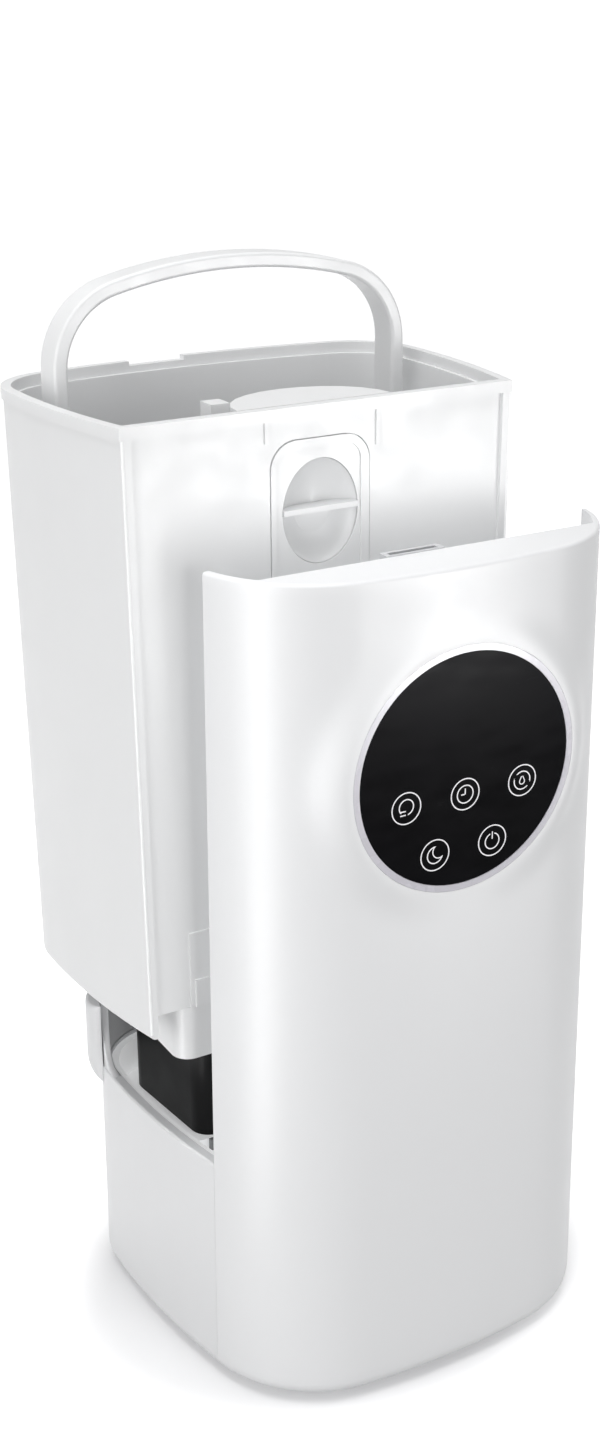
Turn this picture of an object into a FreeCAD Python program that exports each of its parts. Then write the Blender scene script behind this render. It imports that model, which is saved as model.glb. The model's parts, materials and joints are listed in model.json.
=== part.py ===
import FreeCAD, Part
import math
import os
import Sketcher
from FreeCAD import Vector

# Tower humidity appliance: a low electric base with a tall curved control
# panel in front, and a bucket-like water tank with a bail handle that lifts
# off the base. Millimetres, +Z up, front is -Y, X to the right seen from the
# front. The origin is on the floor, under the middle of the base.
doc = FreeCAD.newDocument("HumidityTower")
sheet = doc.addObject("Spreadsheet::Sheet", "Sheet")

DIMS = [
    # tower plan at panel-top height: tangent arcs from front to back
    ("plan_front_y", 106.2), ("front_rad", 354.6), ("front_ang", 7.59),
    ("corner_rad", 57.05), ("corner_ang", 77.24),
    ("side_rad", 384.5), ("side_ang", 91.64),
    ("back_corner_rad", 34.1), ("back_corner_ang", 170.73),
    ("draft_deg", 0.4465), ("tank_draft_deg", 0.543), ("plan_grow", 3.05),
    # heights
    ("foot_gap", 3.0), ("rim_top", 115.8), ("panel_top", 391.4),
    ("seat_drop", 2.0), ("rim_wide", 5.0), ("ledge_in", 8.6), ("rim_deep", 6.8),
    ("deck_top", 96.0), ("deck_thick", 8.5), ("basin_low", 90.0), ("seam_y", 58.9),
    ("wall", 3.0), ("edge_round", 8.0), ("floor_thick", 3.5),
    # front panel
    ("panel_back_y", 80.0), ("panel_back_thick", 2.5),
    ("disc_z", 304.0), ("disc_rad", 51.5), ("disc_y", 107.0),
    ("bezel_rad", 54.6), ("halo_rad", 68.0), ("glass_thick", 2.4),
    ("icon_rad", 7.2), ("icon_line", 0.5), ("icon_pitch", 29.0),
    ("icon_row_a", 293.0), ("icon_row_b", 268.5),
    ("slot_mid_x", -8.5), ("slot_long", 28.0), ("slot_wide", 5.6),
    # tank, in its own frame: z 0 is the skirt that sits on the base ledge
    ("tank_scale", 0.965), ("tank_tall", 268.9), ("tank_front_y", 58.6),
    ("tank_wall", 2.8), ("rim_band", 5.0), ("rim_proud", 0.8),
    ("tank_floor", 10.0), ("tank_floor_thick", 3.0),
    ("front_step", 2.0), ("bead_wide", 3.4),
    ("tank_rest_x", -30.8), ("tank_rest_y", 11.8), ("tank_rest_z", 180.3),
    ("sump_deep", 16.0), ("sump_left", 75.0), ("sump_right", 34.0), ("sump_back_y", 22.0),
    ("duct_mid_x", -2.0), ("duct_half", 36.0), ("duct_deep", 31.0),
    ("duct_wall", 2.0), ("moon_thick", 3.9),
    # hatch on the tank's front
    ("hatch_left", -25.2), ("hatch_right", 21.4), ("hatch_top", 254.9),
    ("hatch_bottom", 150.0), ("hatch_round", 12.0), ("hatch_thick", 2.4),
    ("dish_x", -1.7), ("dish_z", 224.0), ("dish_half_x", 18.0),
    ("dish_half_z", 22.4), ("dish_deep", 9.0),
    # bail handle
    ("bail_half", 86.0), ("bail_wide", 16.0), ("bail_thick", 6.5), ("bail_top_z", 320.0),
    ("bail_y", 26.0), ("bail_pivot_z", 241.0), ("bail_bend_x", 48.0),
    ("bail_bend_z", 276.0), ("bail_bend_rad", 38.0),
    ("pivot_rad", 3.0),
    # black chamber block on the deck
    ("block_top", 150.0), ("block_front_y", 11.0), ("block_back_y", 55.0),
    ("block_right_x", -8.0), ("block_round", 10.0), ("band_tall", 5.5),
    ("socket_tall", 36.3),
    # air and water parts
    ("fan_rad", 27.0), ("fan_x", -34.0), ("fan_y", 16.0),
    ("float_x", 60.0), ("float_y", -37.0), ("float_rad", 13.0),
    ("mist_x", 4.0), ("mist_y", -38.0), ("mist_rad", 13.0),
    ("valve_x", -54.0), ("valve_y", -40.0), ("valve_rad", 9.0),
    ("cord_bore_rad", 3.3), ("cord_gland_len", 14.0),
]
D = {}
for row, (name, value) in enumerate(DIMS, start=1):
    sheet.set("A%d" % row, name)
    sheet.set("B%d" % row, repr(value))
    sheet.setAlias("B%d" % row, name)
    D[name] = value
doc.recompute()

NODES = []


# ---------------------------------------------------------------- plan curve
def right_chain(off, k):
    """Tangent arcs of the right half plan, front to back: cx, cy, r, a0, a1."""
    spec = [(D["front_rad"], D["front_ang"]), (D["corner_rad"], D["corner_ang"]),
            (D["side_rad"], D["side_ang"]), (D["back_corner_rad"], D["back_corner_ang"])]
    out = []
    phi = 0.0
    cx, cy = 0.0, -D["plan_front_y"] + D["front_rad"]
    last = None
    for r, end in spec:
        if last is not None:
            s, c = math.sin(math.radians(phi)), -math.cos(math.radians(phi))
            cx, cy = last[0] + s * (last[2] - r), last[1] + c * (last[2] - r)
        last = (cx, cy, r)
        out.append((cx, cy, r, phi - 90.0, end - 90.0))
        phi = end
    # the back is one arc centred on the plane of symmetry
    s, c = math.sin(math.radians(phi)), -math.cos(math.radians(phi))
    px, py = last[0] + last[2] * s, last[1] + last[2] * c
    r = px / s
    out.append((0.0, py - r * c, r, phi - 90.0, 90.0))
    return [(cx * k, cy * k, r * k + off, a0, a1) for cx, cy, r, a0, a1 in out]


def plan_arcs(off=0.0, k=1.0):
    """Whole plan, counter-clockwise from the front middle."""
    right = right_chain(off, k)
    left = [(-cx, cy, r, 180.0 - a1, 180.0 - a0) for cx, cy, r, a0, a1 in reversed(right)]
    front = (right[0][0], right[0][1], right[0][2], left[-1][3] - 360.0, right[0][4])
    back = (right[-1][0], right[-1][1], right[-1][2], right[-1][3], left[0][4])
    return [front] + right[1:-1] + [back] + left[1:-1]


def arc_end(arc, last):
    cx, cy, r, a0, a1 = arc
    a = math.radians(a1 if last else a0)
    return cx + r * math.cos(a), cy + r * math.sin(a)


def plan_x(y, off=0.0, k=1.0):
    """Half width of the plan at a given y."""
    best = 0.0
    for cx, cy, r, a0, a1 in right_chain(off, k):
        if abs(y - cy) <= r:
            a = math.degrees(math.asin((y - cy) / r))
            if a0 - 1e-6 <= a <= a1 + 1e-6:
                best = max(best, cx + r * math.cos(math.radians(a)))
    return best


def plan_part(off, k, y_low, y_high):
    """Closed loop of the plan between two y values: arcs and lines."""
    right = []
    for cx, cy, r, a0, a1 in right_chain(off, k):
        lo, hi = a0, a1
        if y_low is not None:
            if cy + r * math.sin(math.radians(a1)) <= y_low:
                continue
            if cy + r * math.sin(math.radians(a0)) < y_low:
                lo = math.degrees(math.asin((y_low - cy) / r))
        if y_high is not None:
            if cy + r * math.sin(math.radians(a0)) >= y_high:
                continue
            if cy + r * math.sin(math.radians(a1)) > y_high:
                hi = math.degrees(math.asin((y_high - cy) / r))
        right.append((cx, cy, r, lo, hi))
    left = [(-cx, cy, r, 180.0 - a1, 180.0 - a0) for cx, cy, r, a0, a1 in reversed(right)]
    loop = []
    for a in right:
        loop.append(("arc",) + a)
    if y_high is None:
        last, first = loop[-1], left[0]
        loop[-1] = ("arc", last[1], last[2], last[3], last[4], first[4])
        left = left[1:]
    else:
        p, q = arc_end(right[-1], True), arc_end(left[0], False)
        loop.append(("line", p[0], p[1], q[0], q[1]))
    for a in left:
        loop.append(("arc",) + a)
    if y_low is None:
        last = loop[-1]
        first = loop[0]
        loop[0] = ("arc", first[1], first[2], first[3], last[4] - 360.0, first[5])
        loop = loop[:-1]
    else:
        a = loop[-1]
        p = arc_end(a[1:], True)
        q = arc_end(right[0], False)
        loop.append(("line", p[0], p[1], q[0], q[1]))
    return loop


# ------------------------------------------------------------------- helpers
def origin_plane(body, role):
    return [o for o in body.Origin.OriginFeatures if o.Role == role][0]


def new_body(label):
    b = doc.addObject("PartDesign::Body", label)
    b.Label = label
    return b


def bind(obj, prop, expr):
    obj.setExpression(prop, expr)


def sketch(body, name, role, geoms, lift=None):
    s = body.newObject("Sketcher::SketchObject", name)
    s.AttachmentSupport = [(origin_plane(body, role), "")]
    s.MapMode = "FlatFace"
    if lift is not None:
        bind(s, "AttachmentOffset.Base.z", lift)
    for g in geoms:
        if g[0] == "arc":
            _, cx, cy, r, a0, a1 = g
            e = Part.ArcOfCircle(Part.Circle(Vector(cx, cy, 0), Vector(0, 0, 1), r),
                                 math.radians(a0), math.radians(a1))
        elif g[0] == "circle":
            e = Part.Circle(Vector(g[1], g[2], 0), Vector(0, 0, 1), g[3])
        elif g[0] == "ellipse":
            e = Part.Ellipse(Vector(g[1], g[2], 0), max(g[3], g[4]), min(g[3], g[4]))
            if g[4] > g[3]:
                e.rotate(FreeCAD.Placement(Vector(g[1], g[2], 0),
                                           FreeCAD.Rotation(Vector(0, 0, 1), 90),
                                           Vector(0, 0, 0)))
        else:
            _, x0, y0, x1, y1 = g
            e = Part.LineSegment(Vector(x0, y0, 0), Vector(x1, y1, 0))
        s.addGeometry(e)
    return s


def rect(x0, y0, x1, y1):
    return [("line", x0, y0, x1, y0), ("line", x1, y0, x1, y1),
            ("line", x1, y1, x0, y1), ("line", x0, y1, x0, y0)]


def round_rect(x0, y0, x1, y1, r):
    """Rectangle with rounded corners; r is one radius or (bl, br, tr, tl)."""
    bl, br, tr, tl = r if isinstance(r, tuple) else (r, r, r, r)
    out = [("line", x0 + bl, y0, x1 - br, y0)]
    if br:
        out.append(("arc", x1 - br, y0 + br, br, 270, 360))
    out.append(("line", x1, y0 + br, x1, y1 - tr))
    if tr:
        out.append(("arc", x1 - tr, y1 - tr, tr, 0, 90))
    out.append(("line", x1 - tr, y1, x0 + tl, y1))
    if tl:
        out.append(("arc", x0 + tl, y1 - tl, tl, 90, 180))
    out.append(("line", x0, y1 - tl, x0, y0 + bl))
    if bl:
        out.append(("arc", x0 + bl, y0 + bl, bl, 180, 270))
    return out


def arcs(lst):
    return [("arc",) + a for a in lst]


def pad(body, prof, length, taper=None, rev=False):
    p = body.newObject("PartDesign::Pad", "Pad")
    p.Profile = prof
    bind(p, "Length", length)
    if taper:
        bind(p, "TaperAngle", taper)
    p.Reversed = rev
    doc.recompute()
    return p


def pocket(body, prof, length, rev=False, taper=None):
    """Cut a profile; stops if nothing was removed."""
    before = body.Shape.Volume
    p = body.newObject("PartDesign::Pocket", "Pocket")
    p.Profile = prof
    bind(p, "Length", length)
    if taper:
        bind(p, "TaperAngle", taper)
    p.Reversed = rev
    doc.recompute()
    if not body.Shape.Volume < before - 1e-3:
        raise RuntimeError("%s: pocket removed nothing" % body.Label)
    return p


def box(body, kind, lo, hi, name="Box"):
    """Additive or subtractive block between two corners given as expressions."""
    o = body.newObject("PartDesign::%sBox" % kind, name)
    for prop, i in (("Length", 0), ("Width", 1), ("Height", 2)):
        bind(o, prop, "(%s) - (%s)" % (hi[i], lo[i]))
    for ax, i in (("x", 0), ("y", 1), ("z", 2)):
        bind(o, "Placement.Base.%s" % ax, str(lo[i]))
    doc.recompute()
    return o


def cyl(body, kind, rad, height, at, axis="Z"):
    """Additive or subtractive cylinder from a base point along +axis."""
    o = body.newObject("PartDesign::%sCylinder" % kind, "Cyl")
    bind(o, "Radius", rad)
    bind(o, "Height", height)
    rot = {"Z": FreeCAD.Rotation(), "Y": FreeCAD.Rotation(Vector(1, 0, 0), -90),
           "X": FreeCAD.Rotation(Vector(0, 1, 0), 90)}[axis]
    o.Placement = FreeCAD.Placement(Vector(0, 0, 0), rot)
    for ax, i in (("x", 0), ("y", 1), ("z", 2)):
        bind(o, "Placement.Base.%s" % ax, str(at[i]))
    doc.recompute()
    return o


def fillet_edges(body, rad, pick):
    """Round the edges that the test picks."""
    tip = body.Tip
    names = ["Edge%d" % (i + 1) for i, e in enumerate(tip.Shape.Edges) if pick(e)]
    if not names:
        raise RuntimeError("%s: no edge to round" % body.Label)
    f = body.newObject("PartDesign::Fillet", "Fillet")
    f.Base = (tip, names)
    bind(f, "Radius", rad)
    doc.recompute()
    return f


def lies_at(e, z):
    """An edge whose middle and ends are all at height z."""
    mid = e.valueAt((e.FirstParameter + e.LastParameter) / 2)
    return abs(mid.z - z) < 0.02 and all(abs(v.Z - z) < 0.02 for v in e.Vertexes)


def middle_z(e):
    return e.valueAt((e.FirstParameter + e.LastParameter) / 2).z


def middle_y(e):
    return e.valueAt((e.FirstParameter + e.LastParameter) / 2).y


def done(obj, tank=False):
    """Register a finished piece; pieces of the tank take its lifted place."""
    if tank:
        for ax in "xyz":
            bind(obj, "Placement.Base.%s" % ax, "Sheet.tank_rest_%s" % ax)
    NODES.append(obj)
    return obj


def prim(kind, label, at=None, axis="Z", **props):
    o = doc.addObject("Part::%s" % kind, label)
    o.Label = label
    for k, v in props.items():
        if isinstance(v, str):
            bind(o, k, v)
        else:
            setattr(o, k, v)
    if axis == "Y":
        o.Placement = FreeCAD.Placement(Vector(0, 0, 0), FreeCAD.Rotation(Vector(1, 0, 0), -90))
    elif axis == "X":
        o.Placement = FreeCAD.Placement(Vector(0, 0, 0), FreeCAD.Rotation(Vector(0, 1, 0), 90))
    if at is not None:
        for ax, v in zip("xyz", at):
            bind(o, "Placement.Base.%s" % ax, str(v))
    return o


def boolean(kind, label, *objs):
    """Cut (base, tool) or a fusion of several solids."""
    if kind == "Cut":
        o = doc.addObject("Part::Cut", label)
        o.Base, o.Tool = objs
    else:
        o = doc.addObject("Part::MultiFuse", label)
        o.Shapes = list(objs)
    o.Label = label
    doc.recompute()
    return o


def S(text):
    """Put the sheet's name before each alias in a formula."""
    out = ""
    word = ""
    for ch in text + " ":
        if ch.isalnum() or ch == "_":
            word += ch
        else:
            out += ("Sheet." + word) if word in D else word
            out += ch
            word = ""
    return out.strip()


def SS(*texts):
    return [S(t) for t in texts]


GROW = D["plan_grow"]
TOP = D["panel_top"]


def grow(z):
    """How far the outer skin stands outside the panel-top plan at height z."""
    return GROW * (1.0 - z / TOP)


# ================================================================ BASE PIECES
# Base shell: drafted wall with a broad flat rim, closed floor, open front
b = new_body("base_shell")
s = sketch(b, "shell_plan", "XY_Plane", arcs(plan_arcs(grow(D["foot_gap"]))), S("foot_gap"))
pad(b, s, S("rim_top - foot_gap"), S("-draft_deg"))
fillet_edges(b, S("edge_round"), lambda e: lies_at(e, D["foot_gap"]))
fillet_edges(b, "1.2", lambda e: lies_at(e, D["rim_top"]))
s = sketch(b, "shell_hollow", "XY_Plane", arcs(plan_arcs(grow(D["rim_top"]) - D["wall"])),
           S("foot_gap + floor_thick"))
pocket(b, s, S("rim_top - rim_deep - foot_gap - floor_thick"), rev=True)
s = sketch(b, "shell_mouth", "XY_Plane", arcs(plan_arcs(grow(D["rim_top"]) - D["rim_wide"])), S("rim_top"))
pocket(b, s, S("rim_deep + 1"))
box(b, "Subtractive", SS("-140", "-140", "-1"), SS("140", "-seam_y + 0.15", "200"))
# service opening in the floor, air inlet slots, cord gland hole in the back
s = sketch(b, "service_hole", "XY_Plane", round_rect(-62, -46, 62, 46, 8), S("foot_gap - 1"))
pocket(b, s, S("floor_thick + 2"), rev=True)
cyl(b, "Subtractive", "7.0", "20", SS("66", "65", "24"), "Y")
for i in range(9):
    x = -56 + 9.0 * i
    if x < 30:
        box(b, "Subtractive", SS("%g" % x, "60", "28"), SS("%g" % (x + 4), "90", "62"))
done(b)

# Front panel: curved skin with closed top, wings that run back to the seam
b = new_body("front_panel")
s = sketch(b, "panel_plan", "XY_Plane", arcs(plan_arcs(grow(D["foot_gap"]))), S("foot_gap"))
pad(b, s, S("panel_top - foot_gap"), S("-draft_deg"))
fillet_edges(b, S("edge_round"), lambda e: lies_at(e, D["foot_gap"]))
fillet_edges(b, "1.5", lambda e: lies_at(e, D["panel_top"]))
box(b, "Subtractive", SS("-140", "-seam_y", "-1"), SS("140", "140", "400"))
# flared boss that carries the flat round display on the curved skin
o = b.newObject("PartDesign::AdditiveCone", "halo")
for k, v in (("Radius1", "halo_rad"), ("Radius2", "bezel_rad + 0.6")):
    bind(o, k, S(v))
bind(o, "Height", "9")
o.Placement = FreeCAD.Placement(Vector(0, 0, 0), FreeCAD.Rotation(Vector(1, 0, 0), 90))
bind(o, "Placement.Base.y", S("-disc_y - 0.3 + 9"))
bind(o, "Placement.Base.z", S("disc_z"))
doc.recompute()
s = sketch(b, "panel_hollow", "XY_Plane",
           plan_part(-D["wall"], 1.0, None, -D["seam_y"] + 5.0), S("foot_gap + floor_thick"))
pocket(b, s, S("panel_top - foot_gap - floor_thick - wall"), rev=True)
s = sketch(b, "panel_bay", "XY_Plane",
           plan_part(-D["wall"], 1.0, -D["panel_back_y"], -D["seam_y"] + 5.0), S("panel_top + 1"))
pocket(b, s, S("wall + 3"))
cyl(b, "Subtractive", S("bezel_rad"), "12", SS("0", "-disc_y - 1", "disc_z"), "Y")
done(b)

# Back wall of the panel, with the slot of the humidity sensor's vent
b = new_body("panel_back")
hw = plan_x(-D["panel_back_y"] - D["panel_back_thick"], -D["wall"] - 0.05)
s = sketch(b, "back_plan", "XZ_Plane", rect(-hw, D["deck_top"] + 18.5, hw, TOP - D["wall"] - 0.05),
           S("panel_back_y"))
pad(b, s, S("panel_back_thick"))
box(b, "Additive", ("%g" % (-hw + 1.5), S("-panel_back_y - 0.5"), S("deck_top + 16.2")),
    ("%g" % (hw - 1.5), S("-seam_y - 3.2"), S("deck_top + 18.6")))
done(b)

# Round display: bezel ring, dark glass, legends, board
c1 = prim("Cylinder", "bezel_outer", SS("0", "-disc_y - 0.3", "disc_z"), "Y",
          Radius=S("bezel_rad - 0.1"), Height="4.0")
c2 = prim("Cylinder", "bezel_inner", SS("0", "-disc_y - 1", "disc_z"), "Y",
          Radius=S("disc_rad + 0.1"), Height="8.0")
done(boolean("Cut", "display_bezel", c1, c2))
done(prim("Cylinder", "display_glass", SS("0", "-disc_y", "disc_z"), "Y",
          Radius=S("disc_rad"), Height=S("glass_thick")))
done(prim("Cylinder", "light_diffuser", SS("0", "-disc_y + glass_thick + 0.1", "disc_z"), "Y",
          Radius=S("disc_rad - 2"), Height="1.6"))

c1 = prim("Cylinder", "carrier_outer", SS("0", "-disc_y + glass_thick + 1.8", "disc_z"), "Y",
          Radius=S("bezel_rad - 0.15"), Height="3.4")
c2 = prim("Cylinder", "carrier_inner", SS("0", "-disc_y", "disc_z"), "Y", Radius="43", Height="20")
done(boolean("Cut", "display_carrier", c1, c2))

# Touch legends: five thin rings on the glass, each round a simple sign
spots = [(-D["icon_pitch"], D["icon_row_a"]), (0.0, D["icon_row_a"]), (D["icon_pitch"], D["icon_row_a"]),
         (-D["icon_pitch"] / 2, D["icon_row_b"]), (D["icon_pitch"] / 2, D["icon_row_b"])]
rings = []
R = D["icon_rad"]
for i, (x, z) in enumerate(spots):
    outer = Part.makeCylinder(R, 0.12, Vector(x, -D["disc_y"] - 0.12, z), Vector(0, 1, 0))
    inner = Part.makeCylinder(R - D["icon_line"], 0.3, Vector(x, -D["disc_y"] - 0.2, z), Vector(0, 1, 0))
    rings.append(outer.cut(inner))


def bar(x, z, w, t, ang):
    """Thin stroke on the glass, w long and t thick, turned by ang degrees."""
    o = Part.makeBox(w, 0.12, t, Vector(-w / 2, -D["disc_y"] - 0.12, -t / 2))
    o.rotate(Vector(0, 0, 0), Vector(0, 1, 0), ang)
    o.translate(Vector(x, 0, z))
    return o


def ringlet(x, z, r, t, cut_box=None):
    a = Part.makeCylinder(r, 0.12, Vector(x, -D["disc_y"] - 0.12, z), Vector(0, 1, 0))
    a = a.cut(Part.makeCylinder(r - t, 0.3, Vector(x, -D["disc_y"] - 0.2, z), Vector(0, 1, 0)))
    if cut_box is not None:
        a = a.cut(cut_box)
    return a


def gap(x, z, w, h):
    return Part.makeBox(w, 1, h, Vector(x - w / 2, -D["disc_y"] - 0.5, z - h / 2))


x, z = spots[0]
rings.append(ringlet(x, z + 0.5, 3.7, 0.5, gap(x - 2.0, z - 3.6, 5.6, 3.6)))
rings.append(bar(x - 1.6, z - 1.2, 2.6, 0.5, 0))
rings.append(bar(x - 1.6, z - 2.9, 2.6, 0.5, 0))
x, z = spots[1]
rings.append(ringlet(x, z, 4.2, 0.5))
rings.append(bar(x, z + 1.2, 0.5, 2.6, 0))
rings.append(bar(x - 1.15, z - 0.05, 1.7, 0.5, 0))
x, z = spots[2]
a = ringlet(x, z, 4.3, 0.5, gap(x - 3.2, z + 1.9, 1.6, 2.2))
rings.append(a.cut(gap(x + 3.2, z - 1.9, 1.6, 2.2)))
rings.append(ringlet(x, z - 0.5, 1.5, 0.45, gap(x, z + 0.75, 2.0, 1.2)))
rings.append(bar(x - 0.72, z + 1.0, 0.42, 2.0, 26))
rings.append(bar(x + 0.72, z + 1.0, 0.42, 2.0, -26))
x, z = spots[3]
hx, hz = x + 2.1, z + 1.5
hole = Part.makeCylinder(2.95, 0.3, Vector(hx, -D["disc_y"] - 0.2, hz), Vector(0, 1, 0))
full = Part.makeCylinder(4.0, 0.3, Vector(x, -D["disc_y"] - 0.2, z), Vector(0, 1, 0))
rings.append(ringlet(x, z, 4.0, 0.5).cut(hole).fuse(ringlet(hx, hz, 3.4, 0.45).common(full)))
x, z = spots[4]
rings.append(ringlet(x, z - 0.3, 3.8, 0.5, gap(x, z + 3.0, 2.2, 3.0)))
rings.append(bar(x, z + 2.4, 0.5, 3.4, 0))
f = doc.addObject("Part::Feature", "touch_legends")
f.Label = "touch_legends"
f.Shape = Part.makeCompound(rings)
done(f)

b = new_body("display_board")
s = sketch(b, "board_plan", "XZ_Plane", [("circle", 0, D["disc_z"], 46.0)], S("disc_y - glass_thick - 6"))
pad(b, s, "1.6", rev=True)
s = sketch(b, "board_flat", "XZ_Plane", rect(-60, D["disc_z"] - 60, 60, D["disc_z"] - 38), S("disc_y - glass_thick - 5"))
pocket(b, s, "5")
done(b)

# Vent of the room sensor at the top back edge, with its raised lip
b = new_body("sensor_vent")
box(b, "Additive", SS("slot_mid_x - slot_long / 2", "-panel_back_y", "panel_top - 8"),
    SS("slot_mid_x + slot_long / 2", "-panel_back_y + slot_wide", "panel_top + 0.6"))
box(b, "Subtractive", SS("slot_mid_x - slot_long / 2 + 2.4", "-panel_back_y + 1.2", "panel_top - 5"),
    SS("slot_mid_x + slot_long / 2 - 2.4", "-panel_back_y + slot_wide - 1.6", "panel_top + 2"))
done(b)
done(prim("Box", "room_sensor", SS("slot_mid_x - 5", "-panel_back_y - panel_back_thick - 4.2", "panel_top - 20"),
          Length="10", Width="4", Height="8"))

# Basin: tray with ledge that carries the tank's skirt, deck and front wall
b = new_body("basin")
rimoff = grow(D["rim_top"])
s = sketch(b, "tray_low", "XY_Plane", plan_part(rimoff - D["wall"] - 0.05, 1.0, -D["seam_y"] - 3.0, None),
           S("deck_top - deck_thick"))
pad(b, s, S("rim_top - rim_deep - deck_top + deck_thick"))
s = sketch(b, "tray_high", "XY_Plane", plan_part(rimoff - D["rim_wide"] - 0.05, 1.0, -D["seam_y"] - 3.0, None),
           S("rim_top - rim_deep - 1"))
pad(b, s, S("rim_deep + 1 - seat_drop"))
s = sketch(b, "tray_well", "XY_Plane", plan_part(rimoff - D["ledge_in"], 1.0, -D["seam_y"], None), S("deck_top"))
pocket(b, s, S("30"), rev=True)
# the front corners stay inside the panel's wings
wing = plan_x(-D["seam_y"] - 3.0, -D["wall"] - 0.1)
box(b, "Subtractive", SS("-140", "-80", "80"), ("%g" % (-wing), S("-seam_y + 0.4"), "120"))
box(b, "Subtractive", ("%g" % wing, "-80", "80"), ("140", S("-seam_y + 0.4"), "120"))
# lower basin along the front, with the hole of the mist transducer
box(b, "Subtractive", SS("-84", "-56.5", "basin_low"), SS("84", "-block_front_y - 1.2", "deck_top + 1"))
cyl(b, "Subtractive", S("mist_rad + 2.2"), "12", SS("mist_x", "mist_y", "deck_top - 10"))
done(b)

# Black chamber block on the deck, beside the well: fan outlet and mist chamber
sx = 0.104
bf, bb = -D["block_front_y"], D["block_back_y"]


def block_x(y):
    return -79.4 - sx * (y + 1.0)


r = D["block_round"]
blk = [("line", block_x(bf) + r, bf, D["block_right_x"] - r, bf),
       ("arc", D["block_right_x"] - r, bf + r, r, 270, 360),
       ("line", D["block_right_x"], bf + r, D["block_right_x"], bb - r),
       ("arc", D["block_right_x"] - r, bb - r, r, 0, 90),
       ("line", D["block_right_x"] - r, bb, block_x(bb) + r, bb),
       ("arc", block_x(bb) + r, bb - r, r, 90, 180 + math.degrees(math.atan(sx)))]
# left side leans out towards the back; both its ends are tangent to the corners
al = math.atan(sx)
cA = (block_x(bb) + r, bb - r)
pA = (cA[0] - r * math.cos(al), cA[1] - r * math.sin(al))
cB = (cA[0] + (cA[1] - (bf + r)) * sx, bf + r)
pB = (cB[0] - r * math.cos(al), cB[1] - r * math.sin(al))
blk += [("line", pA[0], pA[1], pB[0], pB[1]),
        ("arc", cB[0], cB[1], r, 180 + math.degrees(al), 270)]
blk[0] = ("line", cB[0], bf, D["block_right_x"] - r, bf)
b = new_body("chamber_block")
s = sketch(b, "block_plan", "XY_Plane", blk, S("deck_top"))
pad(b, s, S("block_top - deck_top"))
fillet_edges(b, "3", lambda e: lies_at(e, D["block_top"]))
box(b, "Subtractive", SS("block_right_x - 60", "-3", "deck_top - 1"), SS("block_right_x - 12", "43", "block_top - 4"))
s = sketch(b, "mist_mouth", "XY_Plane", round_rect(-58, 4, -28, 36, 6), S("block_top + 1"))
pocket(b, s, "8")
done(b)
# Grey strip on the step below the block's front face
b = new_body("chamber_gasket")
box(b, "Additive", ("%g" % (cB[0] - 6), S("-block_front_y - 3.2"), S("basin_low + 0.05")),
    SS("block_right_x - 1", "-block_front_y - 1.25", "deck_top - 0.05"))
done(b)

# Mist transducer in its well, float on its post, pin that opens the tank valve
c1 = prim("Cylinder", "ring_o", SS("mist_x", "mist_y", "deck_top - 8.5"), Radius=S("mist_rad + 2.1"), Height="3.2")
c2 = prim("Cylinder", "ring_i", SS("mist_x", "mist_y", "deck_top - 10"), Radius=S("mist_rad - 2"), Height="9")
done(boolean("Cut", "transducer_ring", c1, c2))
done(prim("Cylinder", "transducer_disc", SS("mist_x", "mist_y", "deck_top - 7.6"),
          Radius=S("mist_rad - 2.05"), Height="1.2"))
b = new_body("float_post")
cyl(b, "Additive", "2.5", "23", SS("float_x", "float_y", "basin_low"))
cyl(b, "Additive", "4.6", "1.4", SS("float_x", "float_y", "basin_low + 22.6"))
done(b)
c1 = prim("Cylinder", "float_o", SS("float_x", "float_y", "basin_low + 0.6"), Radius=S("float_rad"), Height="9")
c2 = prim("Cylinder", "float_i", SS("float_x", "float_y", "basin_low - 1"), Radius="3.0", Height="14")
done(boolean("Cut", "water_float", c1, c2))
done(prim("Cylinder", "valve_pin", SS("valve_x", "valve_y", "basin_low"), Radius="5", Height="7.3"))

# Fan under the deck: housing, motor, impeller
b = new_body("fan_housing")
s = sketch(b, "scroll", "XY_Plane", round_rect(D["fan_x"] - 33, D["fan_y"] - 33, D["fan_x"] + 33, D["fan_y"] + 33, 14), "40")
pad(b, s, "26")
cyl(b, "Subtractive", S("fan_rad + 3"), "22", SS("fan_x", "fan_y", "42"))
cyl(b, "Subtractive", "15", "40", SS("fan_x", "fan_y", "38"))
box(b, "Subtractive", SS("fan_x - 10", "fan_y + 20", "44"), SS("fan_x + 10", "fan_y + 40", "62"))
for x, y in ((-26, -26), (26, -26), (-26, 26), (26, 26)):
    cyl(b, "Additive", "3", "34", ("%g" % (D["fan_x"] + x), "%g" % (D["fan_y"] + y), S("foot_gap + floor_thick")))
done(b)
b = new_body("fan_motor")
cyl(b, "Additive", "16.5", "14", SS("fan_x", "fan_y", "70"))
cyl(b, "Additive", "1.5", "22", SS("fan_x", "fan_y", "48.5"))
done(b)
b = new_body("fan_impeller")
cyl(b, "Additive", "9", "15", SS("fan_x", "fan_y", "45"))
for i in range(16):
    o = b.newObject("PartDesign::AdditiveBox", "Blade")
    bind(o, "Length", S("fan_rad - 8.5"))
    bind(o, "Width", "1.2")
    bind(o, "Height", "14")
    a = math.radians(22.5 * i)
    o.Placement = FreeCAD.Placement(
        Vector(D["fan_x"] + 8.2 * math.cos(a), D["fan_y"] + 8.2 * math.sin(a), 45.5),
        FreeCAD.Rotation(Vector(0, 0, 1), 22.5 * i + 14))
doc.recompute()
cyl(b, "Subtractive", "1.56", "30", SS("fan_x", "fan_y", "40"))
done(b)
done(prim("Box", "fan_bracket", SS("fan_x - 30", "fan_y - 6", "84.1"), Length="60", Width="12", Height="3"))

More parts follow.
